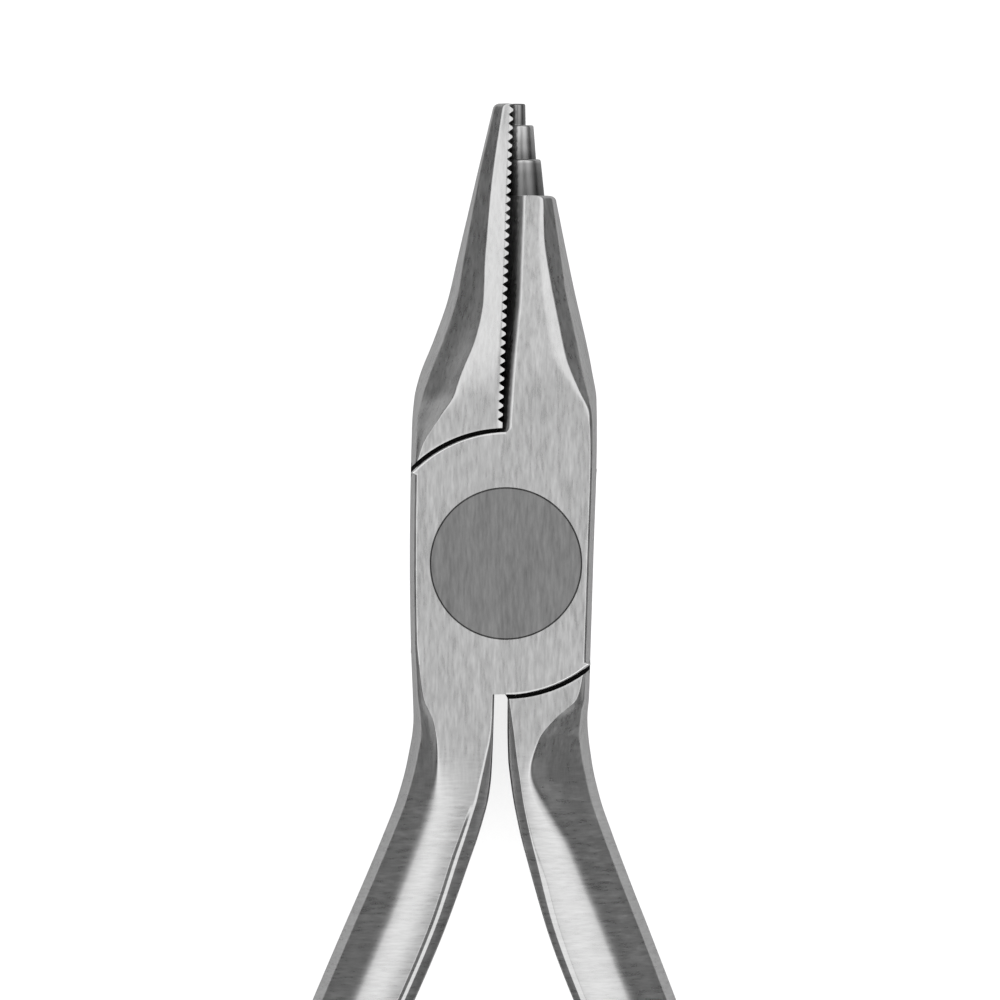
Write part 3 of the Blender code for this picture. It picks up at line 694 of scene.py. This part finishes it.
# %% [markdown]
# ## Cut and join
# The levers are machined with exact Booleans, which keep the skins closed. Points that fall together
# are merged first, and only edges sharper than thirty degrees stay sharp in the shading, so that the
# rolls and crowns look smooth and the sawn edges don't.

# %% Booleans
SHARP_EDGE = math.radians(30)


def outward(piece, merge=1e-6):
    """Merge points closer than a thousandth of a millimetre and turn every face outwards."""
    bm = bmesh.new()
    bm.from_mesh(piece.data)
    bmesh.ops.remove_doubles(bm, verts=bm.verts, dist=merge)
    bmesh.ops.recalc_face_normals(bm, faces=bm.faces)
    bm.to_mesh(piece.data)
    bm.free()


def machine(piece, tools):
    """Apply exact Booleans in order and throw the tools away."""
    for tool, operation in tools:
        outward(tool)
        step = piece.modifiers.new(tool.name, "BOOLEAN")
        step.operation = operation
        step.solver = "EXACT"
        step.object = tool
    outward(piece)
    ready = piece.evaluated_get(bpy.context.evaluated_depsgraph_get())
    mesh = bpy.data.meshes.new_from_object(ready)
    piece.modifiers.clear()
    piece.data = mesh
    for tool, _ in tools:
        bpy.data.objects.remove(tool, do_unlink=True)
    mesh.shade_smooth()
    mesh.set_sharp_from_angle(angle=SHARP_EDGE)
    print(piece.name, "has", len(mesh.polygons), "faces")


machine(front, [(step, "UNION") for step in steps] + [(front_lap, "DIFFERENCE")])
machine(rear, [(comb, "DIFFERENCE"), (rear_lap, "DIFFERENCE")])
machine(pin, [])

# %% [markdown]
# ## Brushed grain
# The forgings are satin stainless steel. The joint is brushed lengthwise, so its grain is fine
# streaks along Y, while the handles were finished across. An image of scratches would need a UV map
# and show its seams, but a stretched noise gives both: the shader group squeezes the coordinates one
# way and hands back a grain value that moves the colour, the roughness and a faint bump.

# %% Arithmetic nodes
def arithmetic(tree):
    """A function that adds one arithmetic node to the tree and hands back its output. Its inputs are
    sockets or plain numbers."""
    def add(operation, a, b=None, clamp=False):
        node = tree.nodes.new("ShaderNodeMath")
        node.operation = operation
        node.use_clamp = clamp
        for slot, value in enumerate((a, b)):
            if hasattr(value, "is_output"):
                tree.links.new(value, node.inputs[slot])
            elif value is not None:
                node.inputs[slot].default_value = value
        return node.outputs[0]
    return add


# %% Grain group
COARSE_SHARE = 0.35


def grain_group():
    """Noise stretched along one axis, as a value around one half, fine and coarse mixed."""
    group = bpy.data.node_groups.new("brushed_grain", "ShaderNodeTree")
    group.interface.new_socket("Vector", in_out="INPUT", socket_type="NodeSocketVector")
    group.interface.new_socket("Stretch", in_out="INPUT", socket_type="NodeSocketVector")
    group.interface.new_socket("Grain", in_out="OUTPUT", socket_type="NodeSocketFloat")
    nodes, links = group.nodes, group.links
    entry = nodes.new("NodeGroupInput")
    leave = nodes.new("NodeGroupOutput")
    scale = nodes.new("ShaderNodeVectorMath")
    scale.operation = "MULTIPLY"
    links.new(entry.outputs["Vector"], scale.inputs[0])
    links.new(entry.outputs["Stretch"], scale.inputs[1])
    blend = nodes.new("ShaderNodeMix")
    blend.inputs["Factor"].default_value = COARSE_SHARE
    for socket, size, detail, roughness in (("A", 1.0, 3.0, 0.6), ("B", 0.3, 2.0, 0.5)):
        noise = nodes.new("ShaderNodeTexNoise")
        noise.inputs["Scale"].default_value = size
        noise.inputs["Detail"].default_value = detail
        noise.inputs["Roughness"].default_value = roughness
        links.new(scale.outputs[0], noise.inputs["Vector"])
        links.new(noise.outputs["Fac"], blend.inputs[socket])
    links.new(blend.outputs["Result"], leave.inputs["Grain"])
    return group


GRAIN = grain_group()
print("grain group:", len(GRAIN.nodes), "nodes")

# %% [markdown]
# ## The black line of the lap
# The joint shows as a black line because the slot of the lap is deep and in shade. Its steel faces
# straight up at the bottom and would mirror the sky, so a mask paints shade into the colour at the
# foot of the slot and fades out up the walls. A second mask paints a highlight, a whiter colour, on
# a thin band along the shoulder's rubbed edge. Both are worked out from the distance to the pivot
# and from the height, and they take only the two quarters in which a shoulder really stands at that
# height.

# %% Crevice group
CREVICE_RADIUS = (PLATE_RADIUS + POCKET_RADIUS) / 2
CREVICE_HALF = 0.3
# Painted shade in the lap's slot: full near the middle height, gone at this height above or below it.
SLOT_SHADE_TOP = 2.2
SLOT_SHADE_FADE = 1.6
# Painted highlight: a band of this half width on the broad faces, just inside the plate's radius.
HIGHLIGHT_HALF = 0.07
HIGHLIGHT_RADIUS = PLATE_RADIUS - HIGHLIGHT_HALF
HIGHLIGHT_DEPTH = 0.1


def crevice_group():
    """Masks from coordinates for painted light. SlotShade, painted shade, is one at the foot of the lap's
    slot and fades out up its walls, between the plate's and the pocket's radius, where x, y and the
    height above the middle have a negative product. RimHighlight, a painted highlight, is one on the
    broad faces just inside the plate's radius, in the same quarters."""
    group = bpy.data.node_groups.new("lap_crevice", "ShaderNodeTree")
    group.interface.new_socket("Vector", in_out="INPUT", socket_type="NodeSocketVector")
    group.interface.new_socket("SlotShade", in_out="OUTPUT", socket_type="NodeSocketFloat")
    group.interface.new_socket("RimHighlight", in_out="OUTPUT", socket_type="NodeSocketFloat")
    add, links = arithmetic(group), group.links
    entry = group.nodes.new("NodeGroupInput")
    leave = group.nodes.new("NodeGroupOutput")
    split = group.nodes.new("ShaderNodeSeparateXYZ")
    links.new(entry.outputs["Vector"], split.inputs[0])
    x, y, z = (split.outputs[axis] for axis in "XYZ")
    radius = add("SQRT", add("ADD", add("MULTIPLY", x, x), add("MULTIPLY", y, y)))
    height = add("SUBTRACT", z, MID * MM)
    off_middle = add("ABSOLUTE", height)
    turn = add("SIGN", add("MULTIPLY", x, y))
    quarter = add("LESS_THAN", add("MULTIPLY", turn, height), LAP_GAP * MM)
    # deep is where the slot's painted shade lies, shallow where the painted highlight lies.
    deep = add("DIVIDE", add("SUBTRACT", SLOT_SHADE_TOP * MM, off_middle), SLOT_SHADE_FADE * MM, clamp=True)
    shallow = add("GREATER_THAN", off_middle, (MID - HIGHLIGHT_DEPTH) * MM)
    for socket, centre, half, level in (("SlotShade", CREVICE_RADIUS, CREVICE_HALF, deep),
                                        ("RimHighlight", HIGHLIGHT_RADIUS, HIGHLIGHT_HALF, shallow)):
        near = add("LESS_THAN", add("ABSOLUTE", add("SUBTRACT", radius, centre * MM)), half * MM)
        links.new(add("MULTIPLY", add("MULTIPLY", near, level), quarter), leave.inputs[socket])
    return group


CREVICE = crevice_group()
print("crevice group:", len(CREVICE.nodes), "nodes")

# %% [markdown]
# ## Satin steel
# One function makes the three finishes. A metal's Base Color is the tint of its mirror image, so the
# grain moves the grey a little up and down, and the masks paint shade into the slot and a highlight
# along its rim. A ramp paints each step of the beak with a highlight at its top and shade towards its
# foot. The pin is a darker steel with a weaker grain.

# %% Ramp of greys
def value_ramp(tree, position, stops):
    """Smooth ramp of greys through (position, value) stops."""
    ramp = tree.nodes.new("ShaderNodeValToRGB")
    ramp.color_ramp.interpolation = "EASE"
    while len(ramp.color_ramp.elements) < len(stops):
        ramp.color_ramp.elements.new(0.5)
    for element, (at, value) in zip(ramp.color_ramp.elements, sorted(stops)):
        element.position = at
        element.color = (value, value, value, 1.0)
    tree.links.new(position, ramp.inputs["Fac"])
    return ramp.outputs["Color"]


def along_y(tree, place, start, end):
    """Zero at the height start and one at the height end, both in millimetres, clamped beyond."""
    split = tree.nodes.new("ShaderNodeSeparateXYZ")
    tree.links.new(place, split.inputs[0])
    ramp = tree.nodes.new("ShaderNodeMapRange")
    ramp.inputs["From Min"].default_value = start * MM
    ramp.inputs["From Max"].default_value = end * MM
    tree.links.new(split.outputs["Y"], ramp.inputs["Value"])
    return ramp.outputs["Result"]


def grain_node(tree, place, stretch):
    """The grain group with its own stretch."""
    node = tree.nodes.new("ShaderNodeGroup")
    node.node_tree = GRAIN
    node.inputs["Stretch"].default_value = stretch
    tree.links.new(place, node.inputs["Vector"])
    return node.outputs["Grain"]


# %% Materials
LENGTHWISE = (5600.0, 900.0, 5600.0)
CROSSWISE = (1000.0, 6000.0, 1000.0)
CROSSING = (-10.5, -15.5)
SLOT_SHADE_DARKNESS = 0.97
ROUGH_GRAIN = 0.3
BUMP_STRENGTH = 0.15
BUMP_DEPTH = 0.00002
# Greys along the beak: painted shade towards each step's foot and a painted highlight at its top; one below
# the beak.
STEP_SHADE_AND_HIGHLIGHT = ((0.0, 1.0), (0.005, 0.26), (0.22, 0.34), (0.34, 0.5), (0.385, 1.0), (0.4, 0.28), (0.55, 0.55),
              (0.72, 0.85), (0.765, 1.0), (0.775, 0.35), (1.0, 0.5))


def satin_steel(name, grey, roughness, contrast, crossed, stepped):
    """Metal whose grain runs along Y on the joint and, if crossed, across the handles below it. If
    stepped, a ramp paints shade on the rods at the tip towards their feet and highlights at their tops."""
    made = bpy.data.materials.new(name)
    made.use_nodes = True
    tree = made.node_tree
    nodes, links, add = tree.nodes, tree.links, arithmetic(tree)
    shader = nodes["Principled BSDF"]
    shader.inputs["Metallic"].default_value = 1.0
    place = nodes.new("ShaderNodeTexCoord").outputs["Object"]
    grain = grain_node(tree, place, LENGTHWISE)
    if crossed:
        mix = nodes.new("ShaderNodeMix")
        links.new(along_y(tree, place, *CROSSING), mix.inputs["Factor"])
        links.new(grain, mix.inputs["A"])
        links.new(grain_node(tree, place, CROSSWISE), mix.inputs["B"])
        grain = mix.outputs["Result"]
    centred = add("SUBTRACT", grain, 0.5)
    crevice = nodes.new("ShaderNodeGroup")
    crevice.node_tree = CREVICE
    links.new(place, crevice.inputs["Vector"])
    tone = add("ADD", add("MULTIPLY", centred, contrast), grey)
    # Painted shade: the colour is darkened at the foot of the lap's slot.
    tone = add("MULTIPLY", tone, add("SUBTRACT", 1.0, add("MULTIPLY", crevice.outputs["SlotShade"], SLOT_SHADE_DARKNESS)))
    # Painted highlight: the colour is whitened on a band along the shoulder's edge.
    tone = add("MAXIMUM", tone, crevice.outputs["RimHighlight"])
    if stepped:
        # Painted shade and highlight: each step of the beak darker towards its foot and white at its top.
        steps_up = along_y(tree, place, BEAK_ROOT_Y, JAW_REACH)
        tone = add("MULTIPLY", tone, value_ramp(tree, steps_up, STEP_SHADE_AND_HIGHLIGHT))
    colour = nodes.new("ShaderNodeCombineColor")
    for channel in ("Red", "Green", "Blue"):
        links.new(tone, colour.inputs[channel])
    links.new(colour.outputs[0], shader.inputs["Base Color"])
    links.new(add("ADD", add("MULTIPLY", centred, ROUGH_GRAIN), roughness), shader.inputs["Roughness"])
    bump = nodes.new("ShaderNodeBump")
    bump.inputs["Strength"].default_value = BUMP_STRENGTH
    bump.inputs["Distance"].default_value = BUMP_DEPTH
    links.new(grain, bump.inputs["Height"])
    links.new(bump.outputs["Normal"], shader.inputs["Normal"])
    return made


STEPPED = satin_steel("satin_stepped_forging", 0.64, 0.3, 0.6, True, True)
TOOTHED = satin_steel("satin_toothed_forging", 0.64, 0.3, 0.6, True, False)
TURNED = satin_steel("turned_pin", 0.285, 0.34, 0.25, False, False)
for piece, material in ((front, STEPPED), (rear, TOOTHED), (pin, TURNED)):
    piece.data.materials.clear()
    piece.data.materials.append(material)
    print(piece.name, "wears", material.name)

# %% [markdown]
# ## Light tent
# Steel shows what it reflects, so the tent does the drawing. The lens looks in through a long slit
# that runs with the pliers, so the flats, which face it, stay mid grey, and anything that rolls a few
# degrees sideways meets the bright cloth. The tent is dim towards the horizon, which keeps the bevels
# dark. Area lamps would do the same, but a world is smooth and casts no hard edges on the steel.

# %% Tent
SLIT = ((0, 0.5), (6, 0.54), (18, 1.3), (38, 1.25), (90, 1.0))
SLIT_LENGTH = 3.0
HEIGHT = ((0, 1.0), (38, 0.97), (55, 0.42), (70, 0.12), (90, 0.04))


def tent():
    """World colour of a tent whose lens slit is three times as long as it is wide, white to the
    camera. It is the product of a ramp on the length of the direction's (x, y / 3) and one on its Z.
    Both ramps are given by the angle from straight up, in degrees."""
    world = bpy.data.worlds.new("light_tent")
    bpy.context.scene.world = world
    world.use_nodes = True
    tree = world.node_tree
    nodes, links, add = tree.nodes, tree.links, arithmetic(tree)
    split = nodes.new("ShaderNodeSeparateXYZ")
    links.new(nodes.new("ShaderNodeTexCoord").outputs["Generated"], split.inputs[0])
    x, short_y = split.outputs["X"], add("DIVIDE", split.outputs["Y"], SLIT_LENGTH)
    off_axis = add("SQRT", add("ADD", add("MULTIPLY", x, x), add("MULTIPLY", short_y, short_y)))
    slit = value_ramp(tree, off_axis, [(math.sin(math.radians(angle)), value) for angle, value in SLIT])
    height = value_ramp(tree, split.outputs["Z"],
                        [(math.cos(math.radians(angle)), value) for angle, value in HEIGHT])
    product = nodes.new("ShaderNodeMix")
    product.data_type = "RGBA"
    product.blend_type = "MULTIPLY"
    product.inputs["Factor"].default_value = 1.0
    links.new(slit, product.inputs["A"])
    links.new(height, product.inputs["B"])
    white = nodes.new("ShaderNodeMix")
    white.data_type = "RGBA"
    links.new(nodes.new("ShaderNodeLightPath").outputs["Is Camera Ray"], white.inputs["Factor"])
    links.new(product.outputs["Result"], white.inputs["A"])
    white.inputs["B"].default_value = (1.0, 1.0, 1.0, 1.0)
    links.new(white.outputs["Result"], nodes["Background"].inputs["Color"])


tent()
print("tent:", len(bpy.context.scene.world.node_tree.nodes), "nodes")

# %% [markdown]
# ## Floor
# The pliers lie on a pale floor that keeps their soft shadow. A plain white floor would throw so much
# light up that the bevels turned pale, so it is a middling grey, and the rest of its white is added
# as a glow that only the camera sees.

# %% Pale floor
FLOOR_HALF = 1500.0
FLOOR_DROP = 0.02
FLOOR_GREY = 0.7
FLOOR_GLOW = 0.8


def pale_floor():
    """One square under the pliers: the tent lights it, and its glow shows to the camera alone."""
    corners = FLOOR_HALF * np.array([(-1, -1, 0), (1, -1, 0), (1, 1, 0), (-1, 1, 0)], float)
    floor = mesh_object("pale_floor", corners - [0, 0, FLOOR_DROP], [[0, 1, 2, 3]])
    made = bpy.data.materials.new("pale_floor")
    made.use_nodes = True
    tree = made.node_tree
    shader = tree.nodes["Principled BSDF"]
    shader.inputs["Base Color"].default_value = (FLOOR_GREY, FLOOR_GREY, FLOOR_GREY, 1)
    shader.inputs["Roughness"].default_value = 0.9
    shader.inputs["Specular IOR Level"].default_value = 0.0
    shader.inputs["Emission Color"].default_value = (1, 1, 1, 1)
    seen = tree.nodes.new("ShaderNodeLightPath").outputs["Is Camera Ray"]
    glow = arithmetic(tree)("MULTIPLY", seen, FLOOR_GLOW)
    tree.links.new(glow, shader.inputs["Emission Strength"])
    floor.data.materials.append(made)


pale_floor()

# %% [markdown]
# ## Camera
# Product pictures of small tools are taken from far away with a long lens, which keeps their sides
# parallel. The lens stands straight above the joint, and its height follows from the scale of the
# picture: the width that it sees at the joint's front is the picture's pixels over the pixels per
# millimetre.

# %% Long lens
PIXELS_PER_MM = 16.0
PICTURE = 1000
PIVOT_PIXEL = (506.0, 563.5)
LENS = 500.0
SENSOR = 36.0
seen_width = PICTURE / PIXELS_PER_MM
camera_data = bpy.data.cameras.new("long_lens")
camera_data.lens = LENS
camera_data.sensor_width = SENSOR
camera_data.clip_end = 20.0
camera = bpy.data.objects.new("long_lens", camera_data)
bpy.context.scene.collection.objects.link(camera)
bpy.context.scene.camera = camera
camera.location = Vector(((PICTURE / 2 - PIVOT_PIXEL[0]) / PIXELS_PER_MM,
                          (PIVOT_PIXEL[1] - PICTURE / 2) / PIXELS_PER_MM,
                          JOINT_DEPTH + seen_width * LENS / SENSOR)) * MM
bpy.context.scene.view_settings.view_transform = "Standard"
print("camera height in mm:", round(camera.location.z / MM, 1))

# %% [markdown]
# ## Ride and replace
# Each new piece stands for the solid under it and moves with its body. The pin is riveted in the rear
# lever, so it rides with that one.

# %% Hand the pieces to the frame
for piece, body, node, slot in ((front, "front_side", "front_lever", "satin_steel"),
                                (rear, "rear_side", "rear_lever", "satin_steel"),
                                (pin, "rear_side", "pivot_pin", "turned_steel")):
    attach(piece, body)
    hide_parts(node)
